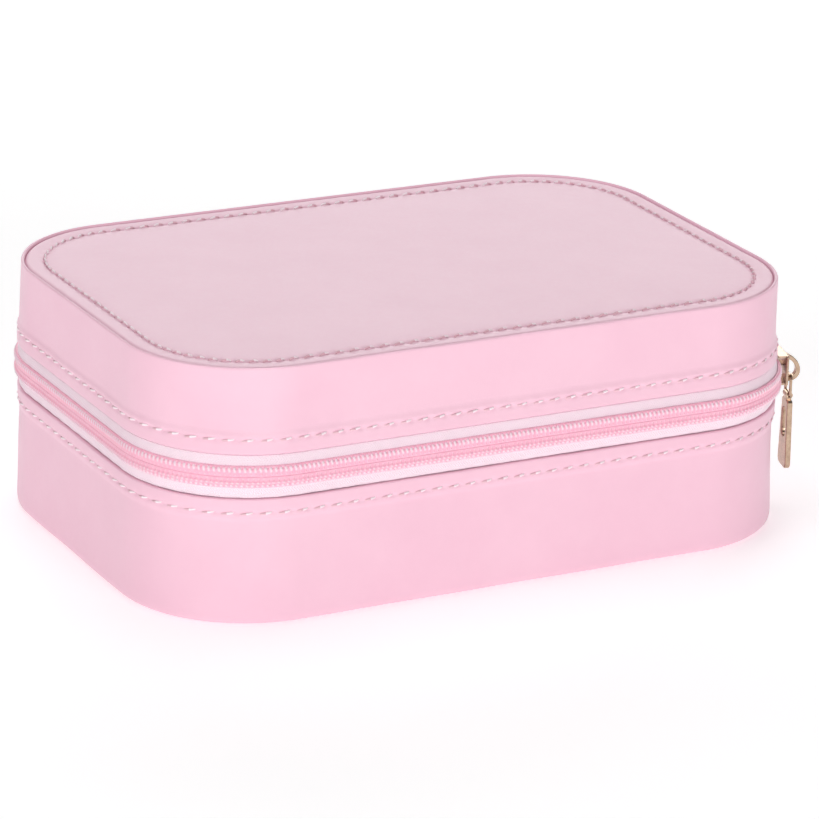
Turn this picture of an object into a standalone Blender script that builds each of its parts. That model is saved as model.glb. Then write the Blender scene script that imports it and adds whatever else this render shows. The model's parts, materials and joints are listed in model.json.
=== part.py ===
"""Zip-round jewellery case in padded leather: a lid and a base of board wrapped in leather,
joined by a leather spine at the back and a coil zip round the other sides, with a velvet
interior of ring rolls, dividers, a mirror, a pocket and necklace hooks.

Frame: origin at the middle of the underside, +X along the long side, +Y to the spine, +Z up.
Wall sections are lists of (offset, height): offset is measured outwards from the lid's outline.
"""

from math import cos, pi, radians, sin

import bmesh
import bpy
from mathutils import Matrix, Vector

MM = 0.001

# Driving dimensions
LENGTH = 165 * MM  # the lid's outline, along X
DEPTH = 112.9 * MM  # the lid's outline, along Y
CORNER_R = 29.4 * MM
HEIGHT = 60.4 * MM
CORNER_STEPS = 10
GAP = 0.3 * MM

# Zip
ZIP_Z = 35.5 * MM  # the zip's centre line
ZIP_SLIT = 0.5 * MM  # from the centre line to each coil
COIL_WIDTH = 1.5 * MM
COIL_BACK, COIL_CREST = 1.1 * MM, 2.5 * MM
TAPE_BACK, TAPE_FACE = 0.35 * MM, 0.8 * MM
TAPE_END_X, COIL_END_X = 44 * MM, 49 * MM
STOP_LENGTH = 2.5 * MM

# Leather bands
LOWER_EDGE_Z, UPPER_EDGE_Z = 30.1 * MM, 40.6 * MM
STITCH_TO_EDGE = 3.35 * MM
HEM_OUT = 0.95 * MM  # how far the hems stand out over the tape
FOOT_OUT = 1.1 * MM  # how much wider the base is at the table
GROOVE_DEPTH, GROOVE_HALF = 0.5 * MM, 0.55 * MM
TOP_STITCH_INSET = 5.6 * MM

# Board frames and linings
FRAME_OFFSET, FRAME_THICK = -1.3 * MM, 2.0 * MM
LINING_OFFSET, LINING_THICK = -3.6 * MM, 1.0 * MM
BASE_FRAME_Z = (1.5 * MM, 31.0 * MM)
BASE_LINING_Z = (3.8 * MM, 31.4 * MM)
LID_FRAME_Z = (57.2 * MM, 40.2 * MM)
LID_LINING_Z = (54.9 * MM, 39.8 * MM)
FLOOR_Z = BASE_LINING_Z[0] + LINING_THICK
CEILING_Z = LID_LINING_Z[0] - LINING_THICK

# Interior
DIVIDER_THICK = 2.4 * MM
DIVIDER_TOP = 29.4 * MM
MAIN_DIVIDER_X = -4 * MM
CROSS_DIVIDER_Y = 4 * MM
SHORT_DIVIDER_X = 38 * MM
ROLL_COUNT, ROLL_PITCH, ROLL_WIDTH = 7, 13 * MM, 12.7 * MM
ROLL_X = (-68.8 * MM, -6.3 * MM)
ROLL_Z = (13.2 * MM, 26.2 * MM)
MIRROR_SIZE = (84 * MM, 62 * MM)
MIRROR_CENTRE = (-26 * MM, 0)
MIRROR_BORDER = 6 * MM
POCKET_X, POCKET_Y = (22 * MM, 68.5 * MM), (8 * MM, 44 * MM)
HOOK_XS = (30 * MM, 45 * MM, 60 * MM)
HOOK_WIDTH = 8 * MM

# Slider and pull, placed by the corner's centre, outward from the wall
SLIDER_ANGLE = radians(-16.5)
SLIDER_LENGTH, SLIDER_WIDTH = 8.4 * MM, 7.4 * MM
PLATE_IN, PLATE_OUT = 3.35 * MM, 4.05 * MM
BACK_PLATE = (-1.3 * MM, -0.6 * MM)
LINK_OUT, LINK_DROP = 5.15 * MM, 1.95 * MM  # the link's pivot, outward and below the zip
LINK_SHIFT = -0.5 * MM  # along the zip, towards the front
LINK_LENGTH, LINK_HALF_WIDTH, LINK_WIRE_R = 5.05 * MM, 2.1 * MM, 0.38 * MM
TAB_LENGTH, TAB_TOP_HALF, TAB_FOOT_HALF, TAB_THICK = 18.2 * MM, 2.5 * MM, 3.5 * MM, 1.4 * MM
KNUCKLE_R, KNUCKLE_HOLE_R, KNUCKLE_HALF = 0.9 * MM, 0.62 * MM, 1.35 * MM

COLOURS = {
    "leather": ((0.84, 0.50, 0.62, 1), 0.45, 0.0),
    "thread": ((0.88, 0.62, 0.72, 1), 0.7, 0.0),
    "tape": ((0.90, 0.62, 0.74, 1), 0.85, 0.0),
    "coil": ((0.90, 0.50, 0.64, 1), 0.4, 0.0),
    "board": ((0.55, 0.47, 0.38, 1), 0.9, 0.0),
    "foam": ((0.85, 0.82, 0.75, 1), 0.95, 0.0),
    "velvet": ((0.80, 0.52, 0.62, 1), 0.95, 0.0),
    "mirror": ((0.9, 0.9, 0.92, 1), 0.02, 1.0),
    "gold": ((0.80, 0.66, 0.50, 1), 0.25, 1.0),
}


# --- scene helpers -------------------------------------------------------------------------

for old in list(bpy.data.objects):
    bpy.data.objects.remove(old, do_unlink=True)


def new_collection(name):
    """A collection linked to the scene."""
    made = bpy.data.collections.new(name)
    bpy.context.scene.collection.children.link(made)
    return made


CASE = new_collection("jewellery_case")
CUTTERS = new_collection("cutters")


def link(name, data, slot, parent=None):
    """An object of the case, with a material of its own from its slot's colour."""
    obj = bpy.data.objects.new(name, data)
    CASE.objects.link(obj)
    obj.parent = parent
    colour, roughness, metallic = COLOURS[slot]
    material = bpy.data.materials.new(name)
    material.use_nodes = True
    shader = material.node_tree.nodes["Principled BSDF"]
    shader.inputs["Base Color"].default_value = colour
    shader.inputs["Roughness"].default_value = roughness
    shader.inputs["Metallic"].default_value = metallic
    data.materials.append(material)
    return obj


def guide(name, data, parent=None):
    """A cutter or sweep profile: it shapes other objects and isn't built itself."""
    obj = bpy.data.objects.new(name, data)
    CUTTERS.objects.link(obj)
    obj.parent = parent
    obj.hide_render = True
    obj.display_type = "WIRE"
    return obj


def empty(name, location, turn=0, parent=None):
    """A pivot for moving pieces."""
    obj = bpy.data.objects.new(name, None)
    CUTTERS.objects.link(obj)
    obj.location = location
    obj.rotation_euler.z = turn
    obj.parent = parent
    return obj


def poly(points, cyclic, dimensions="3D"):
    """A curve of one straight-edged spline."""
    curve = bpy.data.curves.new("poly", "CURVE")
    curve.dimensions = dimensions
    add_spline(curve, points, cyclic)
    return curve


def add_spline(curve, points, cyclic=True):
    spline = curve.splines.new("POLY")
    spline.points.add(len(points) - 1)
    for made, point in zip(spline.points, points):
        made.co = (*point, 1) if len(point) == 3 else (*point, 0, 1)
    spline.use_cyclic_u = cyclic


def smooth(mesh, degrees=40):
    """Round pieces are shaded smooth up to this angle."""
    mesh.shade_smooth()
    mesh.set_sharp_from_angle(angle=radians(degrees))


def to_mesh(obj):
    """The welded mesh of a curve object, which it replaces under the same name."""
    bpy.context.view_layer.update()
    seen = obj.evaluated_get(bpy.context.evaluated_depsgraph_get())
    mesh = bpy.data.meshes.new_from_object(seen)
    bm = bmesh.new()
    bm.from_mesh(mesh)
    bmesh.ops.remove_doubles(bm, verts=bm.verts, dist=0.000001)
    bmesh.ops.recalc_face_normals(bm, faces=bm.faces)
    bm.to_mesh(mesh)
    bm.free()
    name, home, parent = obj.name, obj.users_collection[0], obj.parent
    made = bpy.data.objects.new(name, mesh)
    home.objects.link(made)
    made.parent = parent
    made.matrix_local = obj.matrix_local
    made.hide_render, made.display_type = obj.hide_render, obj.display_type
    bpy.data.objects.remove(obj)
    made.name = name
    return made


def boolean(target, cutter, operation):
    """A live Boolean on target."""
    modifier = target.modifiers.new(cutter.name, "BOOLEAN")
    modifier.operation = operation
    modifier.solver = "EXACT"
    modifier.object = cutter


# --- outlines ------------------------------------------------------------------------------


def arc(centre, radius, start, end, steps=CORNER_STEPS):
    """Points from start to end, in degrees."""
    turns = [radians(start + (end - start) * i / steps) for i in range(steps + 1)]
    return [(centre[0] + radius * cos(a), centre[1] + radius * sin(a)) for a in turns]


def rounded(half_x, half_y, radius, centre=(0, 0), steps=CORNER_STEPS):
    """A closed rounded rectangle, anticlockwise from the rear right corner."""
    points = []
    for start, sx, sy in ((0, 1, 1), (90, -1, 1), (180, -1, -1), (270, 1, -1)):
        middle = (centre[0] + sx * (half_x - radius), centre[1] + sy * (half_y - radius))
        points += arc(middle, radius, start, start + 90, steps)
    return points


def outline(offset):
    """The lid's outline moved outwards by offset."""
    return rounded(LENGTH / 2 + offset, DEPTH / 2 + offset, CORNER_R + offset)


def round_the_front(end_x):
    """The open outline from the left of the spine, round the front, to its right."""
    ring = outline(0)
    rear_left = len(ring) // 4
    return [(-end_x, DEPTH / 2)] + ring[rear_left:] + ring[:rear_left] + [(end_x, DEPTH / 2)]


# --- shapes --------------------------------------------------------------------------------


def swept(name, path, cyclic, section, slot):
    """A wall section carried along an anticlockwise path: a curve with the section as its
    bevel, whose own X runs inwards on a closed path and outwards on an open one."""
    outwards = -1 if cyclic else 1
    profile = poly([(outwards * offset, z) for offset, z in section], True, "2D")
    curve = poly(path, cyclic, "2D")
    curve.fill_mode = "NONE"
    curve.bevel_mode = "OBJECT"
    curve.bevel_object = guide(name + "_section", profile)
    curve.use_fill_caps = not cyclic
    obj = link(name, curve, slot)
    obj = to_mesh(obj)
    smooth(obj.data, 30)
    return obj


def slab(name, splines, z_low, z_high, slot, round_edge=0, parent=None):
    """A flat piece between two heights, from its outline and any window outlines."""
    curve = poly(splines[0], True, "2D")
    for window in splines[1:]:
        add_spline(curve, window)
    curve.fill_mode = "BOTH"
    curve.extrude = (z_high - z_low) / 2 - round_edge
    curve.bevel_depth = round_edge
    curve.bevel_resolution = 1
    obj = link(name, curve, slot, parent)
    obj.location.z = (z_high + z_low) / 2
    return obj


def tray(name, offset, z_floor, z_rim, thickness, slot):
    """A floor and a wall of one thickness, inwards from the outline."""
    bm = bmesh.new()
    floor = [bm.verts.new((x, y, z_floor)) for x, y in outline(offset)]
    rim = [bm.verts.new((x, y, z_rim)) for x, y in outline(offset)]
    opens_up = z_rim > z_floor
    bm.faces.new(floor[::-1] if opens_up else floor)
    for i, corner in enumerate(floor):
        j = (i + 1) % len(floor)
        quad = (corner, floor[j], rim[j], rim[i])
        bm.faces.new(quad if opens_up else quad[::-1])
    mesh = bpy.data.meshes.new(name)
    bm.to_mesh(mesh)
    bm.free()
    obj = link(name, mesh, slot)
    wall = obj.modifiers.new("wall", "SOLIDIFY")
    wall.thickness = thickness
    wall.offset = -1
    wall.use_even_offset = True
    return obj


def box(name, x, y, z, slot, bevel=0, parent=None, is_guide=False):
    """A box between (low, high) pairs, with its edges rounded by bevel."""
    bm = bmesh.new()
    bmesh.ops.create_cube(bm, size=1)
    size = Vector((x[1] - x[0], y[1] - y[0], z[1] - z[0]))
    middle = Vector((x[1] + x[0], y[1] + y[0], z[1] + z[0])) / 2
    bmesh.ops.transform(bm, matrix=Matrix.LocRotScale(middle, None, size), verts=bm.verts)
    mesh = bpy.data.meshes.new(name)
    bm.to_mesh(mesh)
    bm.free()
    obj = guide(name, mesh, parent) if is_guide else link(name, mesh, slot, parent)
    if bevel:
        edge = obj.modifiers.new("edge", "BEVEL")
        edge.width = bevel
        edge.segments = 2
    return obj


# --- leather, thread, boards and linings ---------------------------------------------------


def groove(face, z, up=1):
    """The dip that a seam pulls into the leather's face, from the low side up or down."""
    side = GROOVE_HALF * up
    return [
        (face, z - side),
        (face - GROOVE_DEPTH, z - side / 2),
        (face - GROOVE_DEPTH, z + side / 2),
        (face, z + side),
    ]


def stitch_ring(name, face, z, slot="thread"):
    """The seam's thread, in its groove."""
    half = GROOVE_HALF / 2 - 0.1 * MM
    low, high = face - 0.3 * MM, face
    section = [(low, z - half), (high, z - half), (high, z + half), (low, z + half)]
    return swept(name, outline(0), True, section, slot)


def leather():
    """The two wall bands, the top panel, the bottom panel and the seams."""
    lower_seam = LOWER_EDGE_Z - STITCH_TO_EDGE
    upper_seam = UPPER_EDGE_Z + STITCH_TO_EDGE
    behind_hem, inner, turn_in = -0.15 * MM, -0.9 * MM, -4.9 * MM
    hem_bottom, hem_top = lower_seam - 1.5 * MM, upper_seam + 1.5 * MM
    base_section = [
        (turn_in, 0.3 * MM),
        (0.2 * MM, 0.3 * MM),
        (0.9 * MM, 0.75 * MM),
        (FOOT_OUT, 1.7 * MM),
        (0.35 * MM, hem_bottom),
        *groove(HEM_OUT, lower_seam),
        (HEM_OUT, LOWER_EDGE_Z - 0.3 * MM),
        (0.7 * MM, LOWER_EDGE_Z),
        (behind_hem, LOWER_EDGE_Z),
        (behind_hem, 24.5 * MM),
        (inner, 23.8 * MM),
        (inner, 1.2 * MM),
        (turn_in, 1.2 * MM),
    ]
    swept("base_wall_band", outline(0), True, base_section, "leather")
    lid_section = [
        (behind_hem, UPPER_EDGE_Z),
        (0.7 * MM, UPPER_EDGE_Z),
        (HEM_OUT, UPPER_EDGE_Z + 0.3 * MM),
        *groove(HEM_OUT, upper_seam),
        (0.35 * MM, hem_top),
        (0.05 * MM, 49 * MM),
        (0, HEIGHT - 0.5 * MM),
        (-0.25 * MM, HEIGHT),
        (-0.65 * MM, HEIGHT),
        (inner, HEIGHT - 0.4 * MM),
        (inner, 46.9 * MM),
        (behind_hem, 46.2 * MM),
    ]
    swept("lid_wall_band", outline(0), True, lid_section, "leather")
    stitch_ring("base_edge_stitching", HEM_OUT, lower_seam)
    stitch_ring("lid_edge_stitching", HEM_OUT, upper_seam)

    slab("base_bottom_panel", [outline(-5.3 * MM)], 0, 1.2 * MM, "leather")
    panel_top = 60.2 * MM
    panel = to_mesh(slab("lid_top_panel", [outline(-1.2 * MM)], 59.3 * MM, panel_top, "leather"))
    half = GROOVE_HALF
    cut = [
        (-TOP_STITCH_INSET - half, panel_top - GROOVE_DEPTH),
        (-TOP_STITCH_INSET + half, panel_top - GROOVE_DEPTH),
        (-TOP_STITCH_INSET + half, panel_top + 1 * MM),
        (-TOP_STITCH_INSET - half, panel_top + 1 * MM),
    ]
    cutter = swept("lid_top_groove", outline(0), True, cut, "thread")
    move_to_cutters(cutter)
    boolean(panel, cutter, "DIFFERENCE")
    thread = [
        (-TOP_STITCH_INSET - 0.25 * MM, panel_top - 0.3 * MM),
        (-TOP_STITCH_INSET + 0.25 * MM, panel_top - 0.3 * MM),
        (-TOP_STITCH_INSET + 0.25 * MM, panel_top),
        (-TOP_STITCH_INSET - 0.25 * MM, panel_top),
    ]
    swept("lid_top_stitching", outline(0), True, thread, "thread")
    slab("lid_top_foam", [outline(-1.5 * MM)], 57.5 * MM, 59 * MM, "foam")


def move_to_cutters(obj):
    CASE.objects.unlink(obj)
    CUTTERS.objects.link(obj)
    obj.hide_render = True
    obj.display_type = "WIRE"


def shells():
    """The board frames that give the case its shape, and the velvet that lines them."""
    tray("base_frame", FRAME_OFFSET, *BASE_FRAME_Z, FRAME_THICK, "board")
    tray("base_lining", LINING_OFFSET, *BASE_LINING_Z, LINING_THICK, "velvet")
    tray("lid_frame", FRAME_OFFSET, *LID_FRAME_Z, FRAME_THICK, "board")
    tray("lid_lining", LINING_OFFSET, *LID_LINING_Z, LINING_THICK, "velvet")


# --- zip and spine -------------------------------------------------------------------------


def zip_half(name, side, hem_edge):
    """One tape with its coil and two end stops; side is 1 for the lid and -1 for the base."""
    near = ZIP_Z + side * (ZIP_SLIT + 0.1 * MM)
    fold = ZIP_Z + side * 2.8 * MM
    far = hem_edge + side * 5.3 * MM
    tape_under = (-0.95 * MM, -0.5 * MM)
    tape = [
        (tape_under[0], far),
        (tape_under[0], hem_edge - side * 0.1 * MM),
        (TAPE_BACK, fold - side * 0.1 * MM),
        (TAPE_BACK, near),
        (TAPE_FACE, near),
        (TAPE_FACE, fold + side * 0.1 * MM),
        (tape_under[1], hem_edge + side * 0.1 * MM),
        (tape_under[1], far),
    ]
    swept("zip_tape_" + name, round_the_front(TAPE_END_X), False, tape[::side], "tape")

    z = sorted((ZIP_Z + side * ZIP_SLIT, ZIP_Z + side * (ZIP_SLIT + COIL_WIDTH)))
    cut = 0.4 * MM
    coil = [
        (COIL_BACK, z[0]),
        (COIL_CREST - cut, z[0]),
        (COIL_CREST, z[0] + cut),
        (COIL_CREST, z[1] - cut),
        (COIL_CREST - cut, z[1]),
        (COIL_BACK, z[1]),
    ]
    swept("zip_coil_" + name, round_the_front(COIL_END_X), False, coil, "coil")
    for end, sign in (("left", -1), ("right", 1)):
        x = sorted(sign * (COIL_END_X - GAP - run) for run in (0, STOP_LENGTH))
        y = (DEPTH / 2 + COIL_BACK, DEPTH / 2 + COIL_CREST)
        box(f"zip_stop_{name}_{end}", x, y, z, "gold", 0.25 * MM)


def spine():
    """The leather strip that hinges the lid outside, and the velvet strip inside."""
    low, high = LOWER_EDGE_Z - 5.2 * MM, UPPER_EDGE_Z + 5.3 * MM
    back, face = -0.95 * MM, -0.5 * MM
    bulge_back, bulge_face = -0.4 * MM, 0.5 * MM
    rise = 2.5 * MM
    section = [
        (back, low),
        (face, low),
        (face, LOWER_EDGE_Z - GAP),
        (bulge_face, LOWER_EDGE_Z + rise),
        (bulge_face, UPPER_EDGE_Z - rise),
        (face, UPPER_EDGE_Z + GAP),
        (face, high),
        (back, high),
        (back, UPPER_EDGE_Z - GAP),
        (bulge_back, UPPER_EDGE_Z - rise),
        (bulge_back, LOWER_EDGE_Z + rise),
        (back, LOWER_EDGE_Z + GAP),
    ]
    reach = TAPE_END_X - GAP
    path = [(reach, DEPTH / 2), (-reach, DEPTH / 2)]
    swept("hinge_spine", path, False, section, "leather")
    inside = DEPTH / 2 + LINING_OFFSET - LINING_THICK - GAP
    strip_z = (DIVIDER_TOP + 0.5 * MM, 41.3 * MM)
    box("hinge_lining", (-reach, reach), (inside - 0.8 * MM, inside), strip_z, "velvet")


# --- interior ------------------------------------------------------------------------------


def dividers():
    """The board dividers, wrapped in velvet, that make three compartments on the right."""
    z = (FLOOR_Z + GAP, DIVIDER_TOP)
    half = DIVIDER_THICK / 2
    reach_y = DEPTH / 2 + LINING_OFFSET - LINING_THICK - GAP
    reach_x = LENGTH / 2 + LINING_OFFSET - LINING_THICK - GAP
    cross_x = (MAIN_DIVIDER_X + half + GAP, reach_x)
    cross_y = (CROSS_DIVIDER_Y - half, CROSS_DIVIDER_Y + half)
    main_x = (MAIN_DIVIDER_X - half, MAIN_DIVIDER_X + half)
    short_x = (SHORT_DIVIDER_X - half, SHORT_DIVIDER_X + half)
    round_edge = 0.6 * MM
    box("divider_main", main_x, (-reach_y, reach_y), z, "velvet", round_edge)
    box("divider_cross", cross_x, cross_y, z, "velvet", round_edge)
    box("divider_short", short_x, (cross_y[1] + GAP, reach_y), z, "velvet", round_edge)


def ring_rolls():
    """The foam pad on the left and the rolls that hold rings between them."""
    half_x = (ROLL_X[1] - ROLL_X[0]) / 2
    centre = ((ROLL_X[0] + ROLL_X[1]) / 2, 0)
    half_y = (ROLL_COUNT * ROLL_PITCH) / 2
    pad = rounded(half_x, half_y, 4 * MM, centre, 4)
    slab("ring_pad", [pad], FLOOR_Z + GAP, ROLL_Z[0] - GAP, "velvet")
    for i in range(ROLL_COUNT):
        y = (i - (ROLL_COUNT - 1) / 2) * ROLL_PITCH
        radius = ROLL_WIDTH / 2
        low = ROLL_Z[0] - (ROLL_Z[1] - radius)
        dome = arc((0, 0), radius, 0, 180, 8)
        section = [(radius - 1 * MM, low), *dome, (1 * MM - radius, low)]
        curve = poly(section, True, "2D")
        curve.fill_mode = "BOTH"
        curve.extrude = half_x
        roll = link(f"ring_roll_{i + 1}", curve, "velvet")
        roll.location = (centre[0], y, ROLL_Z[1] - radius)
        roll.rotation_euler = (pi / 2, 0, pi / 2)


def lid_fittings():
    """The mirror in its leather border, the elastic pocket and the necklace hooks."""
    top = CEILING_Z - GAP
    half_x, half_y = MIRROR_SIZE[0] / 2, MIRROR_SIZE[1] / 2
    glass = rounded(half_x - GAP, half_y - GAP, 3 * MM, MIRROR_CENTRE, 4)
    window = rounded(half_x, half_y, 3.3 * MM, MIRROR_CENTRE, 4)
    border = rounded(half_x + MIRROR_BORDER, half_y + MIRROR_BORDER, 8 * MM, MIRROR_CENTRE, 4)
    slab("mirror", [glass], top - 1 * MM, top, "mirror")
    slab("mirror_border", [border, window], top - 1.4 * MM, top, "leather")

    centre = ((POCKET_X[0] + POCKET_X[1]) / 2, (POCKET_Y[0] + POCKET_Y[1]) / 2)
    half_x = (POCKET_X[1] - POCKET_X[0]) / 2
    half_y = (POCKET_Y[1] - POCKET_Y[0]) / 2
    bag = rounded(half_x, half_y, 6 * MM, centre, 4)
    slab("lid_pocket", [bag], top - 2.4 * MM, top, "velvet")
    mouth = (POCKET_Y[0] - GAP - 3.5 * MM, POCKET_Y[0] - GAP)
    box("pocket_elastic", POCKET_X, mouth, (top - 2.8 * MM, top), "velvet", 0.5 * MM)

    for i, x in enumerate(HOOK_XS):
        necklace_hook(i + 1, x, top)


def necklace_hook(number, x, top):
    """A leather strap folded over, with the cap of its snap on the free end."""
    leaf, gap = 0.8 * MM, 1.4 * MM
    rear, front = -22 * MM, -40 * MM
    radius = leaf + gap / 2
    fold = arc((rear, top - radius), radius, 90, -90, 6)
    inner = arc((rear, top - radius), gap / 2, -90, 90, 6)
    outer_end = [(front + 2 * MM, top - 2 * radius), (front + 2 * MM, top - 2 * radius + leaf)]
    root_end = [(front, top - leaf), (front, top)]
    curve = poly(fold + outer_end + inner + root_end, True, "2D")
    curve.fill_mode = "BOTH"
    curve.extrude = HOOK_WIDTH / 2
    strap = link(f"necklace_hook_{number}", curve, "leather")
    strap.location.x = x
    strap.rotation_euler = (pi / 2, 0, pi / 2)

    bm = bmesh.new()
    cap_high = top - 2 * radius - GAP
    middle = Matrix.Translation((x, front + 6 * MM, cap_high - 0.5 * MM))
    bmesh.ops.create_cone(
        bm, cap_ends=True, segments=16, radius1=2.3 * MM, radius2=3 * MM, depth=1 * MM, matrix=middle
    )
    mesh = bpy.data.meshes.new("snap")
    bm.to_mesh(mesh)
    bm.free()
    smooth(mesh)
    link(f"hook_snap_{number}", mesh, "gold")


# --- slider and pull -----------------------------------------------------------------------


def slider():
    """The slider at the front right corner; its pivot is the centre of the corner."""
    corner = (LENGTH / 2 - CORNER_R, CORNER_R - DEPTH / 2, ZIP_Z)
    pivot = empty("slider_pivot", corner, SLIDER_ANGLE)
    half_w, half_l = SLIDER_WIDTH / 2, SLIDER_LENGTH / 2
    edge = 0.25 * MM
    front = (CORNER_R + PLATE_IN, CORNER_R + PLATE_OUT)
    back = (CORNER_R + BACK_PLATE[0], CORNER_R + BACK_PLATE[1])
    body = box("zip_slider", front, (-half_l, half_l), (-half_w, half_w), "gold", edge, pivot)

    lip = (front[0] - 1.9 * MM, front[0] + 0.3 * MM)
    reach = 0.5 * MM
    neck_y = (1 * MM, half_l - 0.6 * MM)
    neck_x = (back[0] + 0.2 * MM, front[0] + 0.3 * MM)
    flange_y = (0.5 * MM - half_l, half_l - 0.5 * MM)
    joins = [
        box("slider_back", back, flange_y, (0.2 * MM - half_w, half_w - 0.2 * MM), None, edge, pivot, True),
        box("slider_neck", neck_x, neck_y, (-0.2 * MM, 0.2 * MM), None, 0, pivot, True),
        box("slider_lip_upper", lip, flange_y, (half_w - reach, half_w - 0.05 * MM), None, 0, pivot, True),
        box("slider_lip_lower", lip, flange_y, (0.05 * MM - half_w, reach - half_w), None, 0, pivot, True),
        crown(pivot),
    ]
    for piece in joins:
        boolean(body, piece, "UNION")
    pull_link(pivot)


def crown(pivot):
    """The arch across the slider that the link hangs from, sagging a little at its middle."""
    reach, half_height, half_thick, sag = 3.25 * MM, 2.9 * MM, 0.42 * MM, 0.25
    steps = 14

    def edge(shift):
        points = []
        for i in range(steps + 1):
            turn = pi / 2 - pi * i / steps
            out = (reach + shift) * cos(turn)
            points.append((out - 0.15 * MM, (half_height + shift) * sin(turn) - sag * out))
        return points

    curve = poly(edge(half_thick) + edge(-half_thick)[::-1], True, "2D")
    curve.fill_mode = "BOTH"
    curve.extrude = 0.65 * MM
    curve.bevel_depth = 0.12 * MM
    curve.bevel_resolution = 1
    obj = guide("slider_crown", curve, pivot)
    obj.location = (CORNER_R + PLATE_OUT, LINK_SHIFT, 0)
    obj.rotation_euler.x = pi / 2
    return to_mesh(obj)


def pull_link(pivot):
    """The wire ring through the crown, and the tab that hangs from it."""
    at = (CORNER_R + LINK_OUT, LINK_SHIFT, -LINK_DROP)
    link_pivot = empty("link_pivot", at, 0, pivot)
    half = LINK_LENGTH / 2
    ring = rounded(LINK_HALF_WIDTH, half, 0.7 * MM, (0, -half), 3)
    curve = poly([(0, y, z) for y, z in ring], True)
    curve.bevel_depth = LINK_WIRE_R
    curve.bevel_resolution = 2
    made = to_mesh(link("pull_link", curve, "gold", link_pivot))
    smooth(made.data, 60)
    tab_pivot = empty("tab_pivot", (0, 0, -LINK_LENGTH), 0, link_pivot)
    pull_tab(tab_pivot)


def pull_tab(pivot):
    """A long tapered tab with a window in its upper half, and the knuckle at its top."""
    foot_r = 1.6 * MM
    neck, shoulder = KNUCKLE_HALF, -1.1 * MM
    foot = -TAB_LENGTH
    left = [(-neck, 0), (-neck, shoulder), (0.5 * MM - TAB_TOP_HALF, shoulder)]
    left += [(-TAB_TOP_HALF, shoulder - 0.5 * MM)]
    corner = arc((foot_r - TAB_FOOT_HALF, foot + foot_r), foot_r, 180, 270, 5)
    half = left + corner
    outer = half + [(-y, z) for y, z in half[::-1]]
    top, low = -3.4 * MM, -10.6 * MM
    window = rounded(1.5 * MM, (top - low) / 2, 1.3 * MM, (0, (top + low) / 2), 4)
    curve = poly(outer, True, "2D")
    add_spline(curve, window)
    edge = 0.3 * MM
    curve.fill_mode = "BOTH"
    curve.extrude = TAB_THICK / 2 - edge
    curve.bevel_depth = edge
    curve.bevel_resolution = 1
    curve.offset = -edge
    plate = link("pull_tab", curve, "gold", pivot)
    plate.rotation_euler = (pi / 2, 0, pi / 2)
    plate = to_mesh(plate)
    smooth(plate.data, 30)
    along = Matrix.Rotation(pi / 2, 4, "Z") @ Matrix.Rotation(pi / 2, 4, "X")
    for name, radius, half_length, operation in (
        ("tab_knuckle", KNUCKLE_R, KNUCKLE_HALF, "UNION"),
        ("tab_pin_hole", KNUCKLE_HOLE_R, 3 * MM, "DIFFERENCE"),
    ):
        bm = bmesh.new()
        bmesh.ops.create_cone(
            bm, cap_ends=True, segments=16, radius1=radius, radius2=radius, depth=2 * half_length
        )
        bmesh.ops.rotate(bm, matrix=Matrix.Rotation(pi / 2, 3, "X"), verts=bm.verts)
        bm.transform(plate.matrix_local.inverted())
        mesh = bpy.data.meshes.new(name)
        bm.to_mesh(mesh)
        bm.free()
        cutter = guide(name, mesh, pivot)
        cutter.matrix_local = plate.matrix_local
        boolean(plate, cutter, operation)


leather()
shells()
zip_half("upper", 1, UPPER_EDGE_Z)
zip_half("lower", -1, LOWER_EDGE_Z)
spine()
dividers()
ring_rolls()
lid_fittings()
slider()
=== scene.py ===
"""The looks of the zip-round leather jewellery case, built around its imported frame.

Metres, the frame's own axes: +X along the long side, +Y to the spine, +Z up. Wall sections are
lists of (offset, height), where offset is measured outwards from the lid's outline.
"""

import json
import random
from math import cos, pi, radians, sin, sqrt

import bmesh
import bpy
from mathutils import Matrix, Vector


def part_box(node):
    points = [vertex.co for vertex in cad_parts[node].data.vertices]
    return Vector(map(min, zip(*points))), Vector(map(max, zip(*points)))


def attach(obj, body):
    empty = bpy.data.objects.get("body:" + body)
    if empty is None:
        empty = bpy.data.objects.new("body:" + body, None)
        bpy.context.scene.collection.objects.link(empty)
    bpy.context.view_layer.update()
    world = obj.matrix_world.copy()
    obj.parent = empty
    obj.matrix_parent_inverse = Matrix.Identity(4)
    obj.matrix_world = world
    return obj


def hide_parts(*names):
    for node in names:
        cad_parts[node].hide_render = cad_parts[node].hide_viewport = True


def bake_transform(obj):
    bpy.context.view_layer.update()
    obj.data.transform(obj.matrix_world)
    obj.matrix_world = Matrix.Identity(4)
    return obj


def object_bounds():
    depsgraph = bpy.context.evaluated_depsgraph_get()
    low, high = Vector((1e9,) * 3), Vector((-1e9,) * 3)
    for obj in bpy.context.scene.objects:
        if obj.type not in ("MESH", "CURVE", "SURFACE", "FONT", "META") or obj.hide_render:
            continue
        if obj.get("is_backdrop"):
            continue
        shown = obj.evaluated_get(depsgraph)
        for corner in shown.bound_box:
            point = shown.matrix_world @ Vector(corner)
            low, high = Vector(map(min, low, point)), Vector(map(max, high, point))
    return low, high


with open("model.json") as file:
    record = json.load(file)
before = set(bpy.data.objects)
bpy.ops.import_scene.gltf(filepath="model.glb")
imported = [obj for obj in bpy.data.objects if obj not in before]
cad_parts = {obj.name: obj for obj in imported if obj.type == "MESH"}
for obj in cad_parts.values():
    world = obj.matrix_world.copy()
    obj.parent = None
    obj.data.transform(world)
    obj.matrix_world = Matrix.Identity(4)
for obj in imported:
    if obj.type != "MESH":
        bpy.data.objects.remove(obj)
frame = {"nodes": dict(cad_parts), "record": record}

CAD_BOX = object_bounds()
MM = 0.001
RANDOM = random.Random(7)

# --- sizes, from the frame ---

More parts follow.
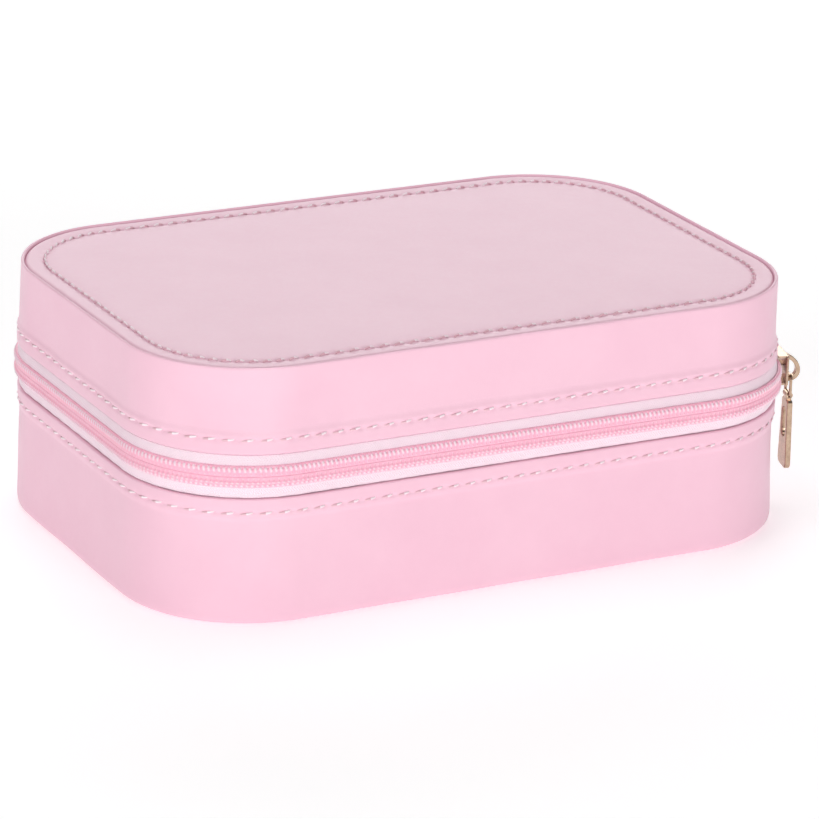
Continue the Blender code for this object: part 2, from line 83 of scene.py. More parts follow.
RIM_OFFSET = 0.95 * MM  # the hems stand this far outside the lid's outline
LOW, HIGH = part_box("lid_wall_band")
HALF_X, HALF_Y = HIGH[0] - RIM_OFFSET, HIGH[1] - RIM_OFFSET
TOP_Z = HIGH[2]
UPPER_EDGE_Z = LOW[2]
LOWER_EDGE_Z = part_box("base_wall_band")[1][2]
CORNER_R = 29.4 * MM
LOWER_SEAM_Z = sum(corner[2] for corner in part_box("base_edge_stitching")) / 2
UPPER_SEAM_Z = sum(corner[2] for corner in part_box("lid_edge_stitching")) / 2
ZIP_Z = (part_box("zip_coil_upper")[0][2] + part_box("zip_coil_lower")[1][2]) / 2
COIL_REACH = 49 * MM  # each end of the coil, from the middle of the back
TAPE_REACH = 44 * MM
TOP_SEAM_INSET = 5.6 * MM
PANEL_CREASE_Z = 59.4 * MM
PANEL_UNDER_Z = 59.05 * MM
FLOOR_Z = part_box("base_lining")[0][2] + 1 * MM
CEILING_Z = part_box("lid_lining")[1][2] - 1 * MM

STITCH_PITCH = 4.2 * MM
TOP_STITCH_PITCH = 3.75 * MM
STITCH_SHARE = 0.68  # the part of each pitch that shows thread
STITCH_SLANT = 0.42 * MM
COIL_PITCH = 1.1 * MM


# --- materials ---


class Nodes:
    """A short way to write a material's node tree."""

    def __init__(self, name):
        self.material = bpy.data.materials.new(name)
        self.material.use_nodes = True
        self.tree = self.material.node_tree
        self.shader = self.tree.nodes["Principled BSDF"]

    def add(self, kind, settings=None, **inputs):
        node = self.tree.nodes.new(kind)
        for key, value in (settings or {}).items():
            setattr(node, key, value)
        for key, value in inputs.items():
            self.put(node, key.replace("_", " "), value)
        return node

    def put(self, node, key, value):
        socket = node.inputs[int(key)] if key.isdigit() else node.inputs[key]
        if isinstance(value, bpy.types.NodeSocket):
            self.tree.links.new(value, socket)
        else:
            socket.default_value = value

    def set(self, **inputs):
        for key, value in inputs.items():
            self.put(self.shader, key.replace("_", " "), value)

    def position(self, scale=1.0):
        """Object coordinates in millimetres, times scale."""
        coords = self.add("ShaderNodeTexCoord").outputs["Object"]
        mapping = self.add("ShaderNodeMapping", Vector=coords, Scale=(1000 * scale,) * 3)
        return mapping.outputs["Vector"]

    def uv(self):
        """UV coordinates, which hold millimetres along and across a swept piece."""
        return self.add("ShaderNodeTexCoord").outputs["UV"]

    def noise(self, vector, scale, detail=3.0, roughness=0.5):
        facts = dict(Vector=vector, Scale=scale, Detail=detail, Roughness=roughness)
        return self.add("ShaderNodeTexNoise", **facts).outputs["Fac"]

    def ramp(self, factor, low, high, colour_low, colour_high):
        node = self.add("ShaderNodeValToRGB", Fac=factor)
        node.color_ramp.elements[0].position = low
        node.color_ramp.elements[1].position = high
        node.color_ramp.elements[0].color = colour_low
        node.color_ramp.elements[1].color = colour_high
        return node.outputs["Color"]

    def math(self, operation, a, b=0.0):
        node = self.add("ShaderNodeMath", {"operation": operation})
        self.put(node, "0", a)
        self.put(node, "1", b)
        return node.outputs[0]

    def bump(self, height, distance, strength=1.0, below=None):
        node = self.add("ShaderNodeBump", Height=height, Distance=distance, Strength=strength)
        if below:
            self.put(node, "Normal", below)
        return node.outputs["Normal"]


def rgb(red, green, blue):
    """A linear colour with alpha from 0-255 display values."""

    def linear(value):
        value /= 255
        return value / 12.92 if value <= 0.04045 else ((value + 0.055) / 1.055) ** 2.4

    return (linear(red), linear(green), linear(blue), 1.0)


def grey(value):
    return (value, value, value, 1)


def leather(name, light=(246, 200, 217), dark=(243, 195, 213)):
    """Smooth coated leather: a fine pebble grain, faint mottling and a soft satin gloss."""
    n = Nodes(name)
    place = n.position()
    mottle = n.noise(place, 0.06, 4.0, 0.6)
    n.set(Base_Color=n.ramp(mottle, 0.3, 0.7, rgb(*dark), rgb(*light)))
    n.set(Roughness=n.ramp(n.noise(place, 0.9, 2.0), 0.3, 0.7, grey(0.38), grey(0.47)))
    pebble = n.add("ShaderNodeTexVoronoi", {"feature": "DISTANCE_TO_EDGE"}, Vector=place, Scale=2.2)
    grain = n.math("MINIMUM", pebble.outputs["Distance"], 0.18)
    wrinkle = n.noise(place, 0.35, 5.0, 0.6)
    coarse = n.bump(wrinkle, 0.00012, 0.5)
    n.set(Normal=n.bump(grain, 0.00006, 0.55, coarse))
    n.set(Specular_IOR_Level=0.55, Sheen_Weight=0.1, Sheen_Roughness=0.5)
    n.set(Sheen_Tint=(1, 0.93, 0.96, 1))
    return n.material


def thread(name, light, dark):
    """Twisted polyester thread, its plies running round it."""
    n = Nodes(name)
    banded = {"bands_direction": "Y"}
    wave = n.add("ShaderNodeTexWave", banded, Vector=n.uv(), Scale=0.9, Distortion=0.4)
    n.set(Base_Color=n.ramp(wave.outputs["Fac"], 0.2, 0.8, rgb(*dark), rgb(*light)))
    n.set(Roughness=0.5, Sheen_Weight=0.1, Normal=n.bump(wave.outputs["Fac"], 0.00005, 0.5))
    return n.material


def tape_weave(name):
    """Herringbone twill tape: fine ribs that slant one way, then the other."""
    n = Nodes(name)
    uv = n.uv()
    parts = n.add("ShaderNodeSeparateXYZ", Vector=uv)
    along, across = parts.outputs["X"], parts.outputs["Y"]
    fold = n.math("PINGPONG", across, 0.9)
    slanted = n.math("ADD", along, n.math("MULTIPLY", fold, 0.9))
    ribs = n.math("SINE", n.math("MULTIPLY", slanted, 2 * pi / 0.62))
    weft = n.math("SINE", n.math("MULTIPLY", across, 2 * pi / 0.36))
    height = n.math("ADD", ribs, n.math("MULTIPLY", weft, 0.35))
    fuzz = n.noise(n.position(), 3.0, 3.0)
    height = n.math("ADD", height, n.math("MULTIPLY", fuzz, 0.5))
    n.set(Base_Color=n.ramp(height, -1.3, 0.7, rgb(250, 214, 230), rgb(255, 245, 251)))
    n.set(Roughness=0.8, Sheen_Weight=0.3, Normal=n.bump(height, 0.00006, 0.7))
    return n.material


def nylon(name, light, dark):
    """Dyed nylon monofilament, a little glossy."""
    n = Nodes(name)
    tone = n.noise(n.position(), 0.8, 2.0)
    n.set(Base_Color=n.ramp(tone, 0.3, 0.7, rgb(*dark), rgb(*light)))
    n.set(Roughness=0.38, Subsurface_Weight=0.15)
    n.set(Subsurface_Radius=(0.0006, 0.0003, 0.0004))
    return n.material


def coil_nylon(name, crest, root, head):
    """A wound coil with painted light along each turn: pale on the crest as a painted highlight,
    deeper towards its head in the middle as painted shade.
    """
    n = Nodes(name)
    along = n.add("ShaderNodeSeparateXYZ", Vector=n.uv()).outputs["X"]
    ramp = n.add("ShaderNodeValToRGB", Fac=along)
    stops = ramp.color_ramp.elements
    for place, colour in ((0.12, crest), (0.44, crest), (0.54, root), (0.80, root)):
        stops.new(place).color = rgb(*colour)
    stops[0].color, stops[-1].color = rgb(*root), rgb(*head)
    n.set(Base_Color=ramp.outputs["Color"])
    n.set(Roughness=0.3, Specular_IOR_Level=0.6, Subsurface_Weight=0.15)
    n.set(Subsurface_Radius=(0.0006, 0.0003, 0.0004))
    return n.material


def velvet(name, light=(248, 210, 223), dark=(233, 188, 204)):
    """Short-pile velvet: a soft sheen, brushed patches and a fine nap."""
    n = Nodes(name)
    place = n.position()
    brushed = n.noise(place, 0.14, 4.0, 0.6)
    nap = n.noise(place, 4.5, 2.0, 0.7)
    mix = n.math("ADD", n.math("MULTIPLY", brushed, 0.75), n.math("MULTIPLY", nap, 0.25))
    n.set(Base_Color=n.ramp(mix, 0.35, 0.68, rgb(*dark), rgb(*light)))
    n.set(Roughness=0.95, Specular_IOR_Level=0.15, Sheen_Weight=0.9, Sheen_Roughness=0.35)
    n.set(Sheen_Tint=(1, 0.86, 0.91, 1))
    n.set(Normal=n.bump(nap, 0.0002, 0.6))
    return n.material


def elastic_fabric(name):
    """Gathered elastic: velvet cloth with close ribs across it."""
    n = Nodes(name)
    wave = n.add("ShaderNodeTexWave", Vector=n.position(), Scale=0.9, Distortion=0.6)
    n.set(Base_Color=n.ramp(wave.outputs["Fac"], 0.2, 0.8, rgb(216, 160, 180), rgb(244, 202, 216)))
    n.set(Roughness=0.85, Sheen_Weight=0.5, Normal=n.bump(wave.outputs["Fac"], 0.0002, 0.7))
    return n.material


def board(name):
    """Grey-brown pressed board with short fibres."""
    n = Nodes(name)
    fibres = n.noise(n.position(), 2.5, 6.0, 0.7)
    n.set(Base_Color=n.ramp(fibres, 0.3, 0.7, rgb(150, 132, 114), rgb(196, 180, 160)))
    n.set(Roughness=0.92, Normal=n.bump(fibres, 0.0002, 0.6))
    return n.material


def foam(name):
    """Open-cell polyurethane foam."""
    n = Nodes(name)
    cells = n.add("ShaderNodeTexVoronoi", Vector=n.position(), Scale=2.5).outputs["Distance"]
    n.set(Base_Color=n.ramp(cells, 0.1, 0.7, rgb(214, 204, 186), rgb(244, 240, 230)))
    n.set(Roughness=0.95, Normal=n.bump(cells, 0.0003, 0.8))
    return n.material


def gold(name):
    """Polished champagne plating, with faint smears and hairline scratches."""
    n = Nodes(name)
    place = n.position()
    smear = n.noise(place, 0.7, 4.0, 0.6)
    hairline = n.add("ShaderNodeMapping", Vector=place, Scale=(6.0, 6.0, 0.4))
    scratch = n.noise(hairline.outputs["Vector"], 2.0, 2.0, 0.6)
    n.set(Base_Color=n.ramp(smear, 0.3, 0.7, rgb(178, 150, 130), rgb(206, 180, 156)), Metallic=1.0)
    n.set(Roughness=n.ramp(smear, 0.3, 0.7, grey(0.15), grey(0.2)))
    n.set(Normal=n.bump(scratch, 0.00001, 0.35))
    return n.material


def mirror_glass(name):
    """Silvered glass with the faintest haze."""
    n = Nodes(name)
    haze = n.noise(n.position(), 0.05, 3.0)
    n.set(Base_Color=(0.93, 0.94, 0.95, 1), Metallic=1.0)
    n.set(Roughness=n.ramp(haze, 0.4, 0.8, grey(0.01), grey(0.04)))
    return n.material


LEATHER = leather("pink_leather")
THREAD = thread("pink_thread", (255, 246, 249), (254, 230, 238))
# A darker copy of the thread: painted shade for the shaded first part of each stitch.
THREAD_PAINTED_SHADE = thread("pink_thread_painted_shade", (244, 204, 214), (224, 178, 190))
TAPE = tape_weave("zip_tape_twill")
# Coil colours: the pale crest is a painted highlight and the deep root is painted shade.
COIL = coil_nylon("coil_nylon", (255, 224, 235), (253, 186, 206), (255, 214, 227))
CORE = nylon("coil_core", (253, 190, 210), (250, 180, 203))
VELVET = velvet("pink_velvet")
ELASTIC = elastic_fabric("gathered_elastic")
BOARD = board("pressed_board")
FOAM = foam("panel_foam")
GOLD = gold("champagne_gold")
MIRROR = mirror_glass("silvered_glass")


# --- outlines and sweeps ---


class Path:
    """The lid's outline as points with outward normals and the distance run along it."""

    def __init__(self, step, end_x=None):
        self.closed = end_x is None
        self.points = []
        arc_steps = max(8, round(CORNER_R * pi / 2 / step))
        corners = ((90, -1, 1), (180, -1, -1), (270, 1, -1), (360, 1, 1))
        start_x = 0 if self.closed else -end_x
        last = Vector((start_x, HALF_Y))
        self._line(last, Vector((CORNER_R - HALF_X, HALF_Y)), step)
        for start, sx, sy in corners:
            middle = Vector((sx * (HALF_X - CORNER_R), sy * (HALF_Y - CORNER_R)))
            if len(self.points) > 1 and start > 90:
                turn = radians(start)
                first = middle + CORNER_R * Vector((cos(turn), sin(turn)))
                self._line(self.points[-1][0], first, step)
            for i in range(arc_steps + 1):
                turn = radians(start + 90 * i / arc_steps)
                normal = Vector((cos(turn), sin(turn)))
                self._add(middle + CORNER_R * normal, normal)
        self._line(self.points[-1][0], Vector((-start_x, HALF_Y)), step)
        if self.closed:
            self.points.pop()
        self.run = [0.0]
        for (a, _), (b, _) in zip(self.points, self.points[1:]):
            self.run.append(self.run[-1] + (b - a).length)
        self.length = self.run[-1]
        if self.closed:
            self.length += (self.points[0][0] - self.points[-1][0]).length

    def _add(self, point, normal):
        if not self.points or (self.points[-1][0] - point).length > 1e-7:
            self.points.append((point, normal))

    def _line(self, a, b, step):
        count = max(1, round((b - a).length / step))
        along = (b - a).normalized()
        normal = Vector((along.y, -along.x))
        for i in range(count + 1):
            self._add(a.lerp(b, i / count), normal)

    def at(self, distance):
        """The point and the outward normal at a distance along."""
        if self.closed:
            distance %= self.length
        low, high = 0, len(self.run) - 1
        while low < high:
            middle = (low + high + 1) // 2
            if self.run[middle] <= distance:
                low = middle
            else:
                high = middle - 1
        after = (low + 1) % len(self.points)
        (a, na), (b, nb) = self.points[low], self.points[after]
        share = (distance - self.run[low]) / max((b - a).length, 1e-9)
        share = min(max(share, 0.0), 1.0)
        return a.lerp(b, share), na.lerp(nb, share).normalized()


def fillet(corners, steps=4):
    """A closed section with rounded corners, each (offset in mm, z in metres, radius in mm)."""
    made = []
    spots = [Vector((x * MM, z)) for x, z, _ in corners]
    for i, here in enumerate(spots):
        before, after = spots[i - 1] - here, spots[(i + 1) % len(spots)] - here
        cut = min(corners[i][2] * MM, before.length * 0.48, after.length * 0.48)
        if cut < 1e-6:
            made.append(here)
            continue
        a, b = here + before.normalized() * cut, here + after.normalized() * cut
        for k in range(steps + 1):
            t = k / steps
            made.append(a * (1 - t) ** 2 + here * 2 * t * (1 - t) + b * t * t)
    return made


def split_long(section, longest, fine_z=None):
    """The section with its long edges cut up; within 3 mm of fine_z, eight times as finely."""
    made = []
    for a, b in zip(section, section[1:] + section[:1]):
        coarse = max(1, round((b - a).length / longest))
        for k in range(coarse):
            start, end = a.lerp(b, k / coarse), a.lerp(b, (k + 1) / coarse)
            fine = fine_z is not None and abs((start.y + end.y) / 2 - fine_z) < 3 * MM
            fine = fine and start.x > -0.2 * MM
            count = max(1, round((end - start).length / longest * 8)) if fine else 1
            made += [start.lerp(end, i / count) for i in range(count)]
    return made


def corners_of(node):
    """The low and the high corner of a node's box."""
    return [Vector(corner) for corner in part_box(node)]


def heading(line, k):
    """The direction of a line of points at its point k."""
    return (line[min(k + 1, len(line) - 1)] - line[max(k - 1, 0)]).normalized()


def skin(bm, rows, wrap=True, caps=True):
    """Faces from each row of vertices to the next, wrapped round and capped if closed."""
    for a, b in zip(rows, rows[1:]):
        for k in range(len(a) - (not wrap)):
            m = (k + 1) % len(a)
            bm.faces.new((a[k], a[m], b[m], b[k]))
    if caps:
        bm.faces.new(rows[0][::-1])
        bm.faces.new(rows[-1])
    if wrap:
        bmesh.ops.recalc_face_normals(bm, faces=bm.faces)


def placed(name, data):
    """A new object in the scene."""
    obj = bpy.data.objects.new(name, data)
    bpy.context.scene.collection.objects.link(obj)
    return obj


def new_piece(name, bm, material, body=None, slot=None, replaces=(), smooth=True):
    """An object from a bmesh, with its material, body and the nodes it stands for."""
    mesh = bpy.data.meshes.new(name)
    bm.to_mesh(mesh)
    bm.free()
    for each in material if isinstance(material, (list, tuple)) else [material]:
        mesh.materials.append(each)
    if smooth:
        mesh.shade_smooth()
    obj = placed(name, mesh)
    if replaces:
        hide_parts(*replaces)
    if body:
        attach(obj, body)
    return obj


def add_sweep(bm, path, section, shift=None):
    """A closed section carried along the path; shift(run, offset, z) may move each point."""
    uv = bm.loops.layers.uv.verify()
    rows = []
    for (point, normal), run in zip(path.points, path.run):
        row = []
        for spot in section:
            offset, z = (spot.x, spot.y) if shift is None else shift(run, spot.x, spot.y)
            at = point + normal * offset
            row.append(bm.verts.new((at.x, at.y, z)))
        rows.append(row)
    girth = [0.0]
    for a, b in zip(section, section[1:] + section[:1]):
        girth.append(girth[-1] + (b - a).length)
    count = len(rows) if path.closed else len(rows) - 1
    size = len(section)
    for i in range(count):
        j = (i + 1) % len(rows)
        run_end = path.run[j] if j else path.length
        for k in range(size):
            m = (k + 1) % size
            face = bm.faces.new((rows[i][k], rows[i][m], rows[j][m], rows[j][k]))
            spots = ((path.run[i], k), (path.run[i], k + 1), (run_end, k + 1), (run_end, k))
            for loop, (run, index) in zip(face.loops, spots):
                loop[uv].uv = (run / MM, girth[index] / MM)
    if not path.closed:
        bm.faces.new(rows[0][::-1])
        bm.faces.new(rows[-1])
    bmesh.ops.recalc_face_normals(bm, faces=bm.faces)


def sweep(name, path, section, material, shift=None, **facts):
    bm = bmesh.new()
    add_sweep(bm, path, section, shift)
    return new_piece(name, bm, material, **facts)


def add_tube(bm, points, radii, sides=7, shade_at=None):
    """A closed tube along points, with a radius at each; it tapers to a cap at both ends."""
    uv = bm.loops.layers.uv.verify()
    rows = []
    reference = Vector((0, 0, 1))
    run = [0.0]
    for a, b in zip(points, points[1:]):
        run.append(run[-1] + (b - a).length)
    for i, point in enumerate(points):
        ahead = heading(points, i)
        side = ahead.cross(reference)
        if side.length < 0.1:
            side = ahead.cross(Vector((0, 1, 0)))
        side.normalize()
        up = side.cross(ahead)
        row = []
        for k in range(sides):
            turn = 2 * pi * k / sides
            row.append(bm.verts.new(point + radii[i] * (cos(turn) * side + sin(turn) * up)))
        rows.append(row)
    for i in range(len(rows) - 1):
        for k in range(sides):
            m = (k + 1) % sides
            face = bm.faces.new((rows[i][k], rows[i][m], rows[i + 1][m], rows[i + 1][k]))
            spots = ((i, k), (i, k + 1), (i + 1, k + 1), (i + 1, k))
            for loop, (index, turn) in zip(face.loops, spots):
                loop[uv].uv = (run[index] / run[-1], run[index] / MM * 2 + turn / sides * 1.2)
            face.material_index = shade_at(i / (len(rows) - 1)) if shade_at else 0
    bm.faces.new(rows[0][::-1])
    bm.faces.new(rows[-1])


# --- leather ---


def seam_pucker(run, pitch):
    """From 0 between needle holes to 1 at a hole."""
    return (0.5 + 0.5 * cos(2 * pi * run / pitch)) ** 3


def near(value, centre, width):
    """A smooth bump of one at centre, and nothing past width."""
    away = abs(value - centre) / width
    return 0.0 if away >= 1 else (1 - away * away) ** 2


def wall_shift(seam_z, pitch):
    """Draws the leather in at each needle hole and lets the wall wander very slightly."""

    def shift(run, offset, z):
        if offset > -0.2 * MM:
            hole = seam_pucker(run, pitch)
            offset -= near(z, seam_z, 0.75 * MM) * (0.18 + 0.28 * hole) * MM
            offset -= near(z, seam_z, 2.2 * MM) * 0.07 * MM * hole
            offset += 0.10 * MM * sin(run / MM * 0.19) * sin(z / MM * 0.21 + 1.0)
        return offset, z

    return shift


def wall(body, corners, seam_z):
    section = split_long(fillet(corners), 3 * MM, seam_z)
    facts = dict(body=body, slot="leather", replaces=[f"{body}_wall_band"])
    shift = wall_shift(seam_z, STITCH_PITCH)
    sweep(f"{body}_leather_wall", Path(0.7 * MM), section, LEATHER, shift, **facts)


def lid_wall():
    corners = [
        (-0.15, UPPER_EDGE_Z, 0.2), (0.76, UPPER_EDGE_Z, 0.15),
        (0.97, UPPER_EDGE_Z + 0.3 * MM, 0.25), (0.92, UPPER_SEAM_Z - 1.0 * MM, 1.0),
        (0.86, UPPER_SEAM_Z + 0.8 * MM, 1.0), (0.38, UPPER_SEAM_Z + 2.0 * MM, 1.2),
        (0.22, 50.5 * MM, 5.0), (0.02, TOP_Z - 0.35 * MM, 0.3),
        (-0.2, TOP_Z + 0.05 * MM, 0.25), (-0.62, TOP_Z + 0.05 * MM, 0.25),
        (-0.90, TOP_Z - 0.35 * MM, 0.3), (-0.90, 46.9 * MM, 0.4),
        (-0.15, 46.2 * MM, 0.4),
    ]
    wall("lid", corners, UPPER_SEAM_Z)


def base_wall():
    corners = [
        (-4.9, 0.3 * MM, 0.2), (0.1, 0.3 * MM, 0.6),
        (0.95, 0.75 * MM, 0.6), (1.12, 2.0 * MM, 0.9),
        (0.75, 12 * MM, 5.0), (0.38, LOWER_SEAM_Z - 2.0 * MM, 1.2),
        (0.86, LOWER_SEAM_Z - 0.8 * MM, 1.0), (0.92, LOWER_SEAM_Z + 1.0 * MM, 1.0),
        (0.97, LOWER_EDGE_Z - 0.3 * MM, 0.25), (0.76, LOWER_EDGE_Z, 0.15),
        (-0.15, LOWER_EDGE_Z, 0.2), (-0.15, 24.5 * MM, 0.3),
        (-0.9, 23.8 * MM, 0.3), (-0.9, 1.2 * MM, 0.2),
        (-4.9, 1.2 * MM, 0.2),
    ]
    wall("base", corners, LOWER_SEAM_Z)


def panel_height(inset, run):
    """The padded top panel's height above the board: a crease, a roll, the seam, the field."""
    edge = min(1.0, max(inset - 0.95 * MM, 0) / (1.0 * MM))
    roll = 0.8 * MM * sqrt(1 - (1 - edge) ** 2)
    crown = 0.25 * MM * (1 - 1 / (1 + (max(inset - TOP_SEAM_INSET, 0) / (9 * MM)) ** 2))
    hole = seam_pucker(run, TOP_STITCH_PITCH)
    dip = near(inset, TOP_SEAM_INSET, 2.4 * MM) * (0.12 + 0.08 * hole) * MM
    dip += near(inset, TOP_SEAM_INSET, 0.75 * MM) * (0.08 + 0.22 * hole) * MM
    return PANEL_CREASE_Z + roll + crown - dip


def ring_at(inset, path):
    """The path's outline moved inwards point for point; past its corners it closes as a box."""
    depth = min(inset, CORNER_R - 1 * MM)
    made = [point - normal * depth for point, normal in path.points]
    if inset > depth:
        for spot in made:
            spot.x = max(inset - HALF_X, min(HALF_X - inset, spot.x))
            spot.y = max(inset - HALF_Y, min(HALF_Y - inset, spot.y))
    return made


def top_panel():
    path = Path(0.75 * MM)
    insets = [0.95, 1.0, 1.1, 1.3, 1.6, 2.0, 2.5, 3.0, 3.5, 4.0, 4.4, 4.8]
    insets += [5.0 + 0.15 * i for i in range(9)]
    insets += [6.5, 6.9, 7.4, 8.0, 8.8, 10, 12, 14, 17, 20, 24, 28]
    bm = bmesh.new()
    rows = [[bm.verts.new((p.x, p.y, PANEL_UNDER_Z)) for p in ring_at(1.1 * MM, path)]]
    for inset in (inset * MM for inset in insets):
        spots = zip(ring_at(inset, path), path.run)
        rows.append([bm.verts.new((p.x, p.y, panel_height(inset, run))) for p, run in spots])
    skin(bm, rows)
    facts = dict(body="lid", slot="leather", replaces=["lid_top_panel"])
    panel = new_piece("lid_padded_top", bm, LEATHER, **facts)


def plate(name, insets, heights, material, **facts):
    """A rounded plate from loops inside the outline; heights(inset, run) gives (low, high)."""
    path = Path(1.2 * MM)
    bm = bmesh.new()
    sides = ([], [])
    for side, rows in enumerate(sides):
        for inset in (inset * MM for inset in insets):
            spots = zip(ring_at(inset, path), path.run)
            rows.append([bm.verts.new((p.x, p.y, heights(inset, run)[side])) for p, run in spots])
    skin(bm, sides[0][::-1] + sides[1])
    return new_piece(name, bm, material, **facts)


def bottom_panel():
    def heights(inset, run):
        edge = min(1.0, max(inset - 5.3 * MM, 0) / (1.2 * MM))
        top = 1.2 * MM
        return 0.45 * MM * (1 - edge) ** 2, top

    insets = [5.3, 5.4, 5.6, 5.9, 6.3, 6.7, 8, 12, 18, 26]
    facts = dict(body="base", slot="leather", replaces=["base_bottom_panel"])
    plate("base_leather_bottom", insets, heights, LEATHER, **facts)


def top_foam():
    def heights(inset, run):
        edge = (1 - min(1.0, max(inset - 1.5 * MM, 0) / (1.4 * MM))) ** 2
        return 57.5 * MM, (59.0 - 0.8 * edge) * MM

    insets = [1.5, 1.7, 2.0, 2.4, 2.9, 5, 12, 26]
    facts = dict(body="lid", slot="foam", replaces=["lid_top_foam"])
    pad = plate("lid_foam_sheet", insets, heights, FOAM, **facts)


# --- velvet ---


def lining(body, node, floor_z, under_z, rim_z, rise):
    """Velvet glued to a board tray: the floor, a cove, the wall and a roll over the rim."""
    z = lambda height: rim_z + rise * height * MM
    corners = [
        (-3.6, under_z, 0.2),
        (-3.6, z(0), 0.2),
        (-1.25, z(0.05), 0.1),
        (-1.0, z(0.3), 0.2),
        (-1.4, z(0.65), 0.3),
        (-2.9, z(0.8), 0.8),
        (-4.5, z(0.5), 0.8),
        (-4.7, z(-0.9), 0.6),
        (-4.6, floor_z + rise * 1.2 * MM, 0.4), (-4.75, floor_z - rise * 0.2 * MM, 0.2),
        (-4.75, under_z, 0.1),
    ]
    section = split_long(fillet(corners), 1.6 * MM)

    def shift(run, offset, height):
        wave = sin(run / MM * 0.31) * sin(run / MM * 0.083 + height / MM * 0.12)
        if -4.9 * MM < offset < -4.4 * MM:
            offset += 0.08 * MM * wave
        return offset, height

    facts = dict(body=body, slot="velvet", replaces=[node])
    sweep(f"{body}_velvet_wall", Path(1.3 * MM), section, VELVET, shift, **facts)

    def heights(inset, run):
        ends = sorted((floor_z, under_z))
        near_edge = min(1.0, (inset - 4.8 * MM) / (1.2 * MM))
        turned = 0.45 * MM * (1 - near_edge) ** 2
        puff = 0.1 * MM * sin(inset / MM * 0.5) * sin(run / MM * 0.09) * near_edge
        if rise > 0:
            return ends[0], ends[1] + puff - turned
        return ends[0] + puff + turned, ends[1]

    insets = [4.8, 4.9, 5.1, 5.4, 5.7, 6.0, 7, 8.5, 11, 13, 15, 18, 21, 24, 27]
    plate(f"{body}_velvet_floor", insets, heights, VELVET, body=body, slot="velvet")


def velvet_block(node, cuts, radius, wave, sink=0.0):
    """A soft block in the node's box, let down by sink, with rounded edges and a slight waver."""
    low, high = corners_of(node)
    low.z -= sink
    size, middle = high - low, (high + low) / 2
    reach = size / 2 - Vector((radius,) * 3)
    bm = bmesh.new()
    grid = {}

    def steps(axis):
        edge, span = size[axis] / 2, 2 * reach[axis]
        outer = [-edge + radius * (1 - cos(radians(18 * k))) for k in range(6)]
        flat = [span * (k / cuts[axis] - 0.5) for k in range(1, cuts[axis])]
        return outer + flat + [-value for value in outer[::-1]]

    lines = [steps(axis) for axis in range(3)]
    counts = [len(line) for line in lines]

    def vert(index):
        if index not in grid:
            spot = Vector([lines[a][index[a]] for a in range(3)])
            inner = Vector([max(-reach[a], min(reach[a], spot[a])) for a in range(3)])
            away = spot - inner
            at = inner + away.normalized() * max(abs(value) for value in away)
            ripple = sin(at.x / MM * 0.7 + at.z / MM * 0.9) * sin(at.y / MM * 0.9)
            grid[index] = bm.verts.new(middle + at + at.normalized() * wave * ripple)
        return grid[index]

    for axis in range(3):
        b, c = [a for a in range(3) if a != axis]
        for end in (0, counts[axis] - 1):
            for i in range(counts[b] - 1):
                for j in range(counts[c] - 1):
                    corners = []
                    for di, dj in ((0, 0), (1, 0), (1, 1), (0, 1)):
                        index = [0, 0, 0]
                        index[axis], index[b], index[c] = end, i + di, j + dj
                        corners.append(vert(tuple(index)))
                    bm.faces.new(corners)
    bmesh.ops.recalc_face_normals(bm, faces=bm.faces)
    facts = dict(body="base", slot="velvet", replaces=[node])
    return new_piece(f"{node}_velvet", bm, VELVET, **facts)


def dividers():
    for node in ("divider_main", "divider_cross", "divider_short"):
        low, high = corners_of(node)
        along_x = high.x - low.x > high.y - low.y
        cuts = (40, 3, 12) if along_x else (3, 40, 12)
        velvet_block(node, cuts, 1.1 * MM, 0.12 * MM, 0.2 * MM)


def ring_holder():
    """A firm pad and the seven foam rolls on it, each wrapped and tucked at its ends."""
    pad = velvet_block("ring_pad", (20, 30, 3), 2.5 * MM, 0.15 * MM)
    for number in range(1, 8):
        ring_roll(number)


def ring_roll(number):
    """One roll: a domed section along X, drawn in at both ends where the velvet is gathered."""
    low, high = corners_of(f"ring_roll_{number}")
    centre, length = (low + high) / 2, high.x - low.x
    half_width = (high.y - low.y) / 2
    dome_z = high.z - half_width
    base_z = low.z - 0.2 * MM
    sides, steps = 36, 56
    phase = number * 1.7
    bm = bmesh.new()
    rows = []
    for i in range(steps + 1):
        t = i / steps
        ease = 0.5 - 0.5 * cos(pi * t)
        x = low.x + length * ease
        from_end = min(x - low.x, high.x - x)
        draw = sqrt(max(0.0, 1 - (1 - min(from_end / (3.2 * MM), 1)) ** 2))
        scale = 0.30 + 0.70 * draw
        row = []
        for k in range(sides):
            turn = 2 * pi * k / sides
            y, z = cos(turn), sin(turn)
            if z < 0:
                width = half_width * (abs(y) ** 0.5) * (1 if y > 0 else -1)
                rise = z * (dome_z - base_z)
            else:
                width, rise = half_width * y, half_width * z
            gather = 0.35 * MM * sin(9 * turn + phase) * (1 - draw)
            crease = 0.10 * MM * sin(x / MM * 0.55 + phase + 1.5 * sin(2 * turn))
            crease *= sin(3 * turn + phase + x / MM * 0.08) * draw
            grow = scale + (gather + crease) / half_width
            middle_z = (dome_z + base_z) / 2
            at_z = middle_z + (dome_z + rise - middle_z) * grow
            row.append(bm.verts.new((x, centre.y + width * grow, max(at_z, base_z))))
        rows.append(row)
    skin(bm, rows)
    facts = dict(body="base", slot="velvet", replaces=[f"ring_roll_{number}"])
    roll = new_piece(f"ring_roll_{number}_velvet", bm, VELVET, **facts)


# --- lid fittings ---


